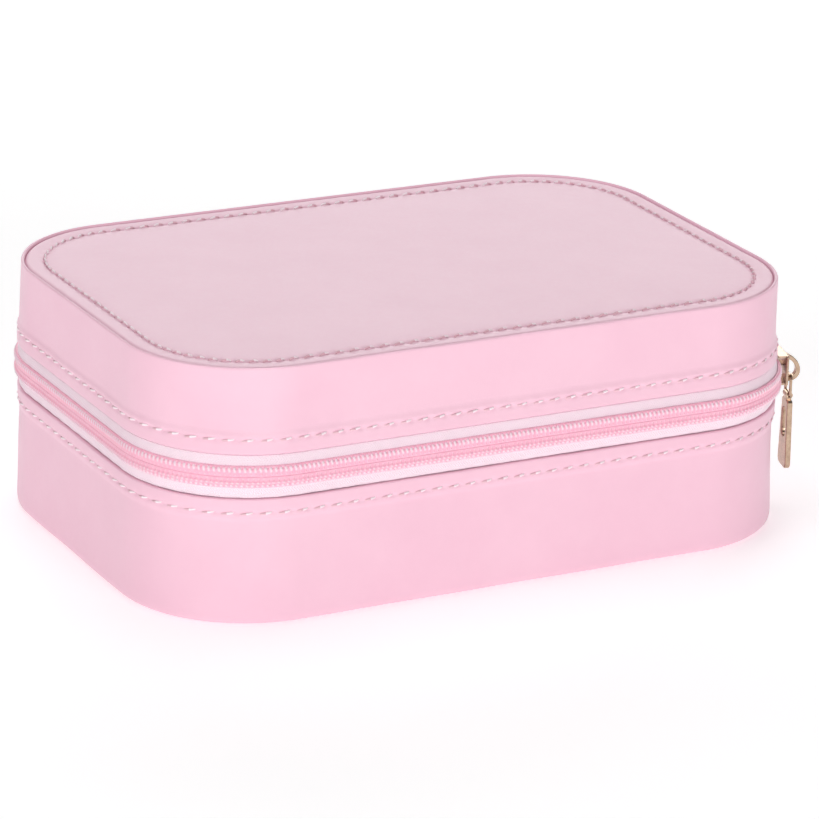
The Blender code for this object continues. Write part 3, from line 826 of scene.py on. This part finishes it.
def mirror_border():
    """A padded leather frame round the mirror, with a line of stitches near its outer edge."""
    low, high = corners_of("mirror_border")
    glass_low, glass_high = corners_of("mirror")
    centre = (low + high) / 2
    outer = (high - low) / 2
    inner = (glass_high - glass_low) / 2 + Vector((0.1, 0.1, 0)) * MM
    top, under = high.z, low.z
    width = outer.x - inner.x
    bm = bmesh.new()
    profile = [(0.0, 0.0), (0.0, 0.45), (0.04, 0.75), (0.12, 0.93), (0.24, 0.98), (0.30, 0.86)]
    profile += [(0.36, 0.98), (0.6, 1.0), (0.85, 0.9), (0.96, 0.6), (1.0, 0.3), (1.0, 0.0)]
    rows = []
    for share, height in profile:
        inset = share * width
        radius = 8 * MM - share * 5 * MM
        row = []
        for start, sx, sy in ((0, 1, 1), (90, -1, 1), (180, -1, -1), (270, 1, -1)):
            middle = Vector((sx * (outer.x - inset - radius), sy * (outer.y - inset - radius)))
            for k in range(13):
                turn = radians(start + 90 * k / 12)
                spot = centre.xy + middle + radius * Vector((cos(turn), sin(turn)))
                row.append(bm.verts.new((spot.x, spot.y, top - height * (top - under))))
        rows.append(row)
    skin(bm, rows + rows[:1], caps=False)
    facts = dict(body="lid", slot="leather", replaces=["mirror_border"])
    new_piece("mirror_leather_frame", bm, LEATHER, **facts)

    bm = bmesh.new()
    inset = 0.3 * width
    x, y = outer.x - inset, outer.y - inset
    end_x, end_y = x - 7 * MM, y - 7 * MM
    spots = [(-end_x, y), (end_x, y), (x, end_y), (x, -end_y)]
    spots += [(end_x, -y), (-end_x, -y), (-x, -end_y), (-x, end_y)]
    spots = [Vector(spot) for spot in spots]
    seam_z = top - 0.92 * (top - under)
    for a, b in zip(spots[::2], spots[1::2]):
        count = round((b - a).length / (3.4 * MM))
        for k in range(count):
            ends = [centre.xy + a.lerp(b, (k + share) / count) for share in (0.15, 0.85)]
            points = []
            for step in range(5):
                spot = ends[0].lerp(ends[1], step / 4)
                lift = sin(pi * step / 4) * 0.2 * MM
                points.append(Vector((spot.x, spot.y, seam_z - lift)))
            add_tube(bm, points, [w * MM for w in (0.15, 0.23, 0.25, 0.23, 0.15)], 6)
    new_piece("mirror_frame_stitches", bm, THREAD, body="lid", slot="thread")


def cloth_grid(nx, ny, spot):
    """A grid of nx by ny faces, with spot(u, v) the place of each corner."""
    bm = bmesh.new()
    rows = [[bm.verts.new(spot(i / nx, j / ny)) for i in range(nx + 1)] for j in range(ny + 1)]
    skin(bm, rows, wrap=False, caps=False)
    return bm


def thicken(piece, thickness):
    """Gives a sheet its thickness, keeps the result and hangs it in the lid."""
    solid = piece.modifiers.new("thickness", "SOLIDIFY")
    solid.thickness = thickness
    solid.offset = 0
    apply_modifiers(piece)
    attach(piece, "lid")


def pocket():
    """A gathered velvet pocket, settled by a short cloth simulation while it hangs."""
    low, high = corners_of("lid_pocket")
    low.x += 0.5 * MM
    width, depth = high.x - low.x, high.y - low.y
    nx, ny = 60, 46

    def spot(u, v):
        rim = min(1.0, min(u, 1 - u) * 8, (1 - v) * 7)
        z = high.z - 0.4 * MM - 1.3 * MM * sin(pi / 2 * rim)
        z += 0.22 * MM * sin(u * 2 * pi * 11) * (1 - v) ** 1.5 * rim
        return low.x + width * u, low.y + depth * v, z

    facts = dict(slot="velvet", replaces=["lid_pocket"])
    piece = new_piece("lid_pocket_velvet", cloth_grid(nx, ny, spot), VELVET, **facts)
    settle(piece, nx, ny, low.z + 0.1 * MM, high.z - 0.35 * MM)
    thicken(piece, 0.35 * MM)
    return piece


def apply_modifiers(piece):
    bpy.context.view_layer.update()
    seen = piece.evaluated_get(bpy.context.evaluated_depsgraph_get())
    mesh = bpy.data.meshes.new_from_object(seen)
    old = piece.data
    piece.modifiers.clear()
    piece.data = mesh
    mesh.name = piece.name
    bpy.data.meshes.remove(old)
    mesh.shade_smooth()


def settle(piece, nx, ny, floor, ceiling):
    """Runs cloth on the pocket, its three sewn edges and its mouth held, then keeps the result."""
    held = piece.vertex_groups.new(name="held")
    edge = [
        j * (nx + 1) + i
        for j in range(ny + 1)
        for i in range(nx + 1)
        if i in (0, nx) or j in (0, ny)
    ]
    held.add(edge, 1.0, "REPLACE")
    cloth = piece.modifiers.new("cloth", "CLOTH")
    cloth.settings.quality = 6
    cloth.settings.mass = 0.15
    cloth.settings.tension_stiffness = 12
    cloth.settings.bending_stiffness = 0.3
    cloth.settings.shrink_min = -0.04
    cloth.settings.vertex_group_mass = "held"
    cloth.collision_settings.use_collision = False
    before = [v.co.copy() for v in piece.data.vertices]
    scene = bpy.context.scene
    scene.frame_start, scene.frame_end = 1, 20
    cloth.point_cache.frame_start, cloth.point_cache.frame_end = 1, 20
    for frame_number in range(1, 21):
        scene.frame_set(frame_number)
    apply_modifiers(piece)
    scene.frame_set(1)
    for vertex, start in zip(piece.data.vertices, before):
        move = vertex.co - start
        if move.length > 0.9 * MM:
            vertex.co = start + move.normalized() * 0.9 * MM
        vertex.co.z = max(floor, min(ceiling, vertex.co.z))


def elastic_mouth():
    """The elastic in its ruffled casing along the pocket's mouth."""
    low, high = corners_of("pocket_elastic")
    low.x += 0.5 * MM
    width, depth = high.x - low.x, high.y - low.y
    gathers = 2 * pi * 30

    def spot(u, v):
        swell = sin(pi * v)
        ruffle = sin(u * gathers + 0.6 * sin(u * 40)) * (0.25 + 0.2 * (1 - swell))
        z = low.z + (0.95 - 0.55 * swell + ruffle) * MM
        flare = 0.25 * MM * sin(u * gathers) * (2 * v - 1)
        return low.x + width * u, low.y + depth * v + flare, z

    facts = dict(slot="elastic", replaces=["pocket_elastic"])
    piece = new_piece("pocket_elastic_ruffle", cloth_grid(260, 8, spot), ELASTIC, **facts)
    thicken(piece, 0.4 * MM)
    return piece


def hooks():
    """Necklace hooks: a soft leather strap folded back on itself, with a domed snap cap."""
    for number in (1, 2, 3):
        low, high = corners_of(f"necklace_hook_{number}")
        half = (high.x - low.x) / 2
        centre_x = (high.x + low.x) / 2
        leaf = 0.8 * MM
        fold_r = (high.z - low.z) / 2 - leaf / 2
        fold_y = high.y - fold_r - leaf / 2
        line = [Vector((low.y, high.z - leaf / 2))]
        line += [Vector((low.y + (fold_y - low.y) * k / 12, high.z - leaf / 2)) for k in range(1, 13)]
        middle = Vector((fold_y, (high.z + low.z) / 2))
        for k in range(1, 12):
            turn = pi / 2 - pi * k / 12
            line.append(middle + fold_r * Vector((cos(turn), sin(turn))))
        end_y = low.y + 2 * MM
        line += [Vector((fold_y + (end_y - fold_y) * k / 12, low.z + leaf / 2)) for k in range(13)]
        across = [-1, -0.96, -0.85, -0.5, 0, 0.5, 0.85, 0.96, 1]
        bm = bmesh.new()
        rows = []
        for i, spot in enumerate(line):
            ahead = heading(line, i)
            out = Vector((-ahead.y, ahead.x))
            tip = min(1.0, (i + 0.4) / 3, (len(line) - 0.6 - i) / 3)
            wide = half * (0.55 + 0.45 * sqrt(max(0.0, 1 - (1 - tip) ** 2)))
            row = []
            for face in (1, -1):
                for share in across[:: face]:
                    thick = leaf / 2 * sqrt(max(0.12, 1 - abs(share) ** 8))
                    at = spot + out * face * thick
                    row.append(bm.verts.new((centre_x + wide * share, at.x, at.y)))
            rows.append(row)
        skin(bm, rows)
        facts = dict(body="lid", slot="leather", replaces=[f"necklace_hook_{number}"])
        new_piece(f"necklace_strap_{number}", bm, LEATHER, **facts)
        snap_cap(number)


def snap_cap(number):
    low, high = corners_of(f"hook_snap_{number}")
    centre, radius = (low + high) / 2, (high.x - low.x) / 2
    depth = high.z - low.z
    profile = [(0.92, 0.0), (1.0, 0.12), (0.99, 0.3), (0.86, 0.62), (0.62, 0.86), (0.45, 0.95)]
    profile += [(0.38, 0.9), (0.2, 0.93), (0.02, 0.96)]
    bm = bmesh.new()
    rows = []
    for share, drop in profile:
        row = []
        for k in range(40):
            turn = 2 * pi * k / 40
            spot = centre.xy + share * radius * Vector((cos(turn), sin(turn)))
            row.append(bm.verts.new((spot.x, spot.y, high.z - drop * depth)))
        rows.append(row)
    skin(bm, rows)
    facts = dict(body="lid", slot="gold", replaces=[f"hook_snap_{number}"])
    new_piece(f"hook_snap_cap_{number}", bm, GOLD, **facts)


# --- hinge ---


def strip(name, line, reach, thick, material, node, slot):
    """A strip of soft sheet along X, swept along a fixed, bent (y, z) profile."""
    bm = bmesh.new()
    rows = []
    steps = 90
    for i in range(steps + 1):
        x = -reach + 2 * reach * i / steps
        ripple = 0.06 * MM * sin(x / MM * 0.5) + 0.04 * MM * sin(x / MM * 1.3 + 1)
        row = []
        for side in (1, -1):
            for k, spot in list(enumerate(line))[::side]:
                ahead = heading(line, k)
                out = Vector((ahead.y, -ahead.x))
                inner = sin(pi * k / (len(line) - 1))
                at = spot + out * (side * thick / 2 + ripple * inner)
                row.append(bm.verts.new((x, at.x, at.y)))
        rows.append(row)
    skin(bm, rows)
    return new_piece(name, bm, material, slot=slot, replaces=[node])


def smooth_line(spots, steps=7):
    """A Catmull-Rom curve through (y, z) spots in millimetres."""
    points = [Vector(spot) * MM for spot in spots]
    padded = [points[0] * 2 - points[1], *points, points[-1] * 2 - points[-2]]
    made = []
    for a, b, c, d in zip(padded, padded[1:], padded[2:], padded[3:]):
        for k in range(steps):
            t = k / steps
            bend = (2 * a - 5 * b + 4 * c - d) * t**2
            twist = (3 * b - a - 3 * c + d) * t**3
            made.append(0.5 * (2 * b + (c - a) * t + bend + twist))
    return made + [points[-1]]


def hinge():
    """The leather spine outside and the velvet strip inside, each with a fixed bent profile."""
    back = HALF_Y / MM
    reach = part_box("hinge_spine")[1][0]
    outside = [(-0.72, 24.9), (-0.72, 27.5), (-0.7, 29.8), (-0.35, 31.2), (0.2, 33.2), (0.3, 35.5)]
    outside += [(0.2, 37.8), (-0.35, 39.6), (-0.7, 41.0), (-0.72, 43.5), (-0.72, 45.9)]
    line = smooth_line([(back + out, z) for out, z in outside])
    facts = (reach, 0.45 * MM, LEATHER, "hinge_spine", "leather")
    spine = strip("spine_leather", line, *facts)
    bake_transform(spine)
    inside = [(51.1, 30.0), (51.2, 31.3), (51.9, 32.1), (53.6, 32.25), (54.9, 32.7), (55.3, 34.2)]
    inside += [(55.4, 35.5), (55.3, 36.8), (54.9, 38.3), (53.6, 38.9), (51.9, 39.05)]
    inside += [(51.2, 39.9), (51.1, 41.2)]
    velvet_facts = (52 * MM, 0.5 * MM, VELVET, "hinge_lining", "velvet")
    web = strip("spine_velvet", smooth_line(inside), *velvet_facts)
    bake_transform(web)


# --- stitching ---


def seam(body, kind, step, pitch, thick, place):
    """Stitches along the outline, each rising from one needle hole and diving into the next.

    place(point, normal, across, lift) says where the thread runs on the leather.
    """
    path = Path(step)
    count = round(path.length / pitch)
    pitch = path.length / count
    bm = bmesh.new()
    for i in range(count):
        wobble = RANDOM.uniform(-0.06, 0.06) * MM
        points, radii = [], []
        for t in (k / 8 for k in range(9)):
            point, normal = path.at((i + 0.5 + (t - 0.5) * STITCH_SHARE) * pitch)
            across = STITCH_SLANT * (t - 0.5) + wobble
            points.append(place(point, normal, across, sin(pi * t) ** 0.5))
            radii.append(thick * (0.6 + 0.4 * sin(pi * t) ** 0.4))
        # The first 40% of each stitch takes the darker thread as painted shade.
        add_tube(bm, points, radii, 7, shade_at=lambda t: 1 if t < 0.4 else 0)
    facts = dict(body=body, slot="thread", replaces=[f"{body}_{kind}_stitching"])
    new_piece(f"{body}_{kind}_stitches", bm, [THREAD, THREAD_PAINTED_SHADE], **facts)


def wall_seam(body, seam_z):
    def place(point, normal, across, lift):
        at = point + normal * (0.38 + 0.44 * lift) * MM
        return Vector((at.x, at.y, seam_z + across))

    seam(body, "edge", 0.8 * MM, STITCH_PITCH, 0.29 * MM, place)


def top_seam():
    field_z = panel_height(2.4 * MM, 0)

    def place(point, normal, across, lift):
        at = point - normal * (TOP_SEAM_INSET + across)
        return Vector((at.x, at.y, field_z - (0.24 - 0.42 * lift) * MM))

    seam("lid", "top", 0.75 * MM, TOP_STITCH_PITCH, 0.26 * MM, place)


# --- zip ---


def zip_bulge(point):
    """How far the chain is pushed out: most at the slider's corner, least at the far back."""
    x, y = point.x / HALF_X, point.y / HALF_Y
    pull = max(0.0, x - y - 0.5) / 1.2
    return (0.2 + 0.55 * min(pull, 1.0) ** 2) * MM


def tape(side, hem_edge, body, node):
    """The woven tape from under the hem out to the coil."""
    z = lambda rise: hem_edge - side * rise * MM
    corners = [
        (-0.5, z(-5.3), 0.1),
        (-0.5, z(-0.4), 0.3),
        (-0.2, z(0.05), 0.2),
        (0.48, z(0.3), 0.3),
        (0.64, z(1.3), 0.9),
        (0.72, ZIP_Z + side * 2.0 * MM, 0.4), (0.60, ZIP_Z + side * 0.6 * MM, 0.1),
        (0.10, ZIP_Z + side * 0.6 * MM, 0.1), (0.15, ZIP_Z + side * 2.0 * MM, 0.4),
        (0.15, z(1.3), 0.9),
        (0.0, z(0.6), 0.3),
        (-0.95, z(-0.3), 0.3),
        (-0.95, z(-5.3), 0.1),
    ]
    section = split_long(fillet(corners), 0.5 * MM)
    path = Path(0.8 * MM, TAPE_REACH)

    def shift(run, offset, height):
        if offset > -0.45 * MM:
            reach = 1 - min(abs(height - ZIP_Z) / (5.0 * MM), 1)
            point, _ = path.at(run)
            offset += zip_bulge(point) * reach
            offset += 0.05 * MM * sin(run / MM * 1.1) * (1 - reach)
        return offset, height

    facts = dict(body=body, slot="zip_tape", replaces=[node])
    sweep(f"{node}_woven", path, section, TAPE, shift, **facts)


def coil(side, body, node):
    """Wound nylon: one bent loop after another, with its sewing thread and its core."""
    path = Path(0.6 * MM, COIL_REACH)
    bm = bmesh.new()
    count = int((path.length - 1 * MM) / COIL_PITCH)
    profile = [(0.82, 2.22), (1.0, 2.05), (1.1, 1.78), (1.1, 1.45), (1.0, 1.18)]
    profile += [(0.86, 0.92), (0.85, 0.65), (0.87, 0.46), (0.8, 0.32)]
    for i in range(count):
        run = (i + (0.5 if side > 0 else 1.0)) * COIL_PITCH
        points = []
        for k, (offset, away) in enumerate(profile):
            lean = (k / (len(profile) - 1) - 0.5) * 0.35 * MM
            point, normal = path.at(run + lean)
            at = point + normal * (offset * MM + zip_bulge(point))
            points.append(Vector((at.x, at.y, ZIP_Z + side * away * MM)))
        radii = [width * MM for width in (0.3, 0.38, 0.44, 0.44, 0.42, 0.38, 0.35, 0.36, 0.28)]
        add_tube(bm, points, radii, 8)
    new_piece(f"{node}_turns", bm, COIL, body=body, slot="zip_coil", replaces=[node])

    bm = bmesh.new()
    step_path = Path(0.8 * MM, COIL_REACH - 1 * MM)

    def shift(run, offset, height):
        point, _ = step_path.at(run)
        return offset + zip_bulge(point), height

    core = [(0.5, 0.02, 0.05), (1.1, 0.02, 0.1), (1.1, 0.9, 0.2), (1.38, 1.3, 0.2)]
    core += [(1.38, 1.75, 0.2), (1.0, 2.1, 0.2), (0.5, 2.1, 0.1)]
    line = [(0.50, 1.95, 0.1), (1.08, 2.0, 0.2), (0.98, 2.55, 0.25), (0.50, 2.6, 0.1)]
    for corners in (core, line):
        section = fillet([(x, ZIP_Z + side * away * MM, r) for x, away, r in corners])
        add_sweep(bm, step_path, section, shift)
    new_piece(f"{node}_core", bm, CORE, body=body, slot="zip_coil")


# --- camera, light and floor ---


def camera():
    data = bpy.data.cameras.new("camera")
    data.sensor_width = 36
    data.lens = 194.3
    data.clip_start, data.clip_end = 0.05, 20
    obj = placed("camera", data)
    azimuth, elevation, roll = radians(-27.85), radians(19.58), radians(1.64)
    target, distance = Vector((3.19, -0.92, 24.05)) * MM, 1052.5 * MM
    back = Vector((sin(azimuth) * cos(elevation), -cos(azimuth) * cos(elevation), sin(elevation)))
    right = Vector((0, 0, 1)).cross(back).normalized()
    up = back.cross(right)
    turned_right = right * cos(roll) + up * sin(roll)
    turned_up = up * cos(roll) - right * sin(roll)
    axes = Matrix((turned_right, turned_up, back)).transposed().to_4x4()
    obj.matrix_world = Matrix.Translation(target + back * distance) @ axes
    bpy.context.scene.camera = obj


def area_light(name, location, size, power):
    data = bpy.data.lights.new(name, "AREA")
    data.shape = "RECTANGLE"
    data.size, data.size_y = size
    data.energy = power
    obj = placed(name, data)
    obj.location = location
    obj.rotation_euler = (LIGHTS_AIM - Vector(location)).to_track_quat("-Z", "Y").to_euler()


LIGHTS_AIM = Vector((0, 0, 0.03))
# name: place, size, watts
LIGHTS = {
    "front": ((-0.1, -1.4, 0.3), (1.2, 0.5), 8.6),
    "left": ((-1.2, -0.3, 0.5), (0.8, 0.8), 4.2),
    "top": ((0, 0.2, 1.4), (1.0, 0.8), 5.8),
    "back": ((0.9, 1.7, 0.75), (1.8, 1.1), 14.0),
}
WORLD_STRENGTH = 0.2
FLOOR_GLOW = 0.355
FLOOR_REACH = 12


def studio():
    """Large soft lights over a pale floor that glows a little, as a light table does."""
    world = bpy.data.worlds.new("world")
    bpy.context.scene.world = world
    world.use_nodes = True
    background = world.node_tree.nodes["Background"]
    background.inputs["Color"].default_value = (1, 0.985, 0.99, 1)
    background.inputs["Strength"].default_value = WORLD_STRENGTH
    for name, (place, size, power) in LIGHTS.items():
        area_light(name, place, size, power)

    bm = bmesh.new()
    bmesh.ops.create_grid(bm, x_segments=1, y_segments=1, size=FLOOR_REACH)
    n = Nodes("floor_white")
    away = n.add("ShaderNodeVectorMath", {"operation": "LENGTH"})
    n.put(away, "0", n.position(0.001))
    near_glow = grey(FLOOR_GLOW)
    glow = n.ramp(away.outputs["Value"], 0.35, 0.95, near_glow, (1, 1, 1, 1))
    n.set(Base_Color=(0.93, 0.93, 0.93, 1), Roughness=0.9)
    n.set(Emission_Color=glow, Emission_Strength=1.0)
    floor = new_piece("floor", bm, n.material, smooth=False)
    floor.location.z = -0.0002
    floor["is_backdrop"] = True
    bpy.context.scene.view_settings.view_transform = "Standard"


# --- CAD nodes that stay, with better materials ---


def dress_nodes():
    slots = dict(leather=LEATHER, thread=THREAD, zip_tape=TAPE, zip_coil=COIL, board=BOARD)
    slots |= dict(foam=FOAM, velvet=VELVET, elastic=ELASTIC, mirror=MIRROR, gold=GOLD)
    for part in frame["record"]["subparts"]:
        for slot in frame["nodes"][part["node"]].material_slots:
            slot.material = slots[part["material_slot"]]


camera()
studio()
dress_nodes()
lid_wall()
base_wall()
top_panel()
wall_seam("lid", UPPER_SEAM_Z)
wall_seam("base", LOWER_SEAM_Z)
top_seam()
tape(1, UPPER_EDGE_Z, "lid", "zip_tape_upper")
tape(-1, LOWER_EDGE_Z, "base", "zip_tape_lower")
coil(1, "lid", "zip_coil_upper")
coil(-1, "base", "zip_coil_lower")
hinge()
bottom_panel()
top_foam()
lining("base", "base_lining", FLOOR_Z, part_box("base_lining")[0][2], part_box("base_frame")[1][2], 1)
lining("lid", "lid_lining", CEILING_Z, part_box("lid_lining")[1][2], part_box("lid_frame")[0][2], -1)
dividers()
ring_holder()
mirror_border()
pocket_cloth = pocket()
ruffle = elastic_mouth()
hooks()

boxes = {"cad": CAD_BOX, "visual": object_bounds()}
{name: [list(corner) for corner in box] for name, box in boxes.items()}
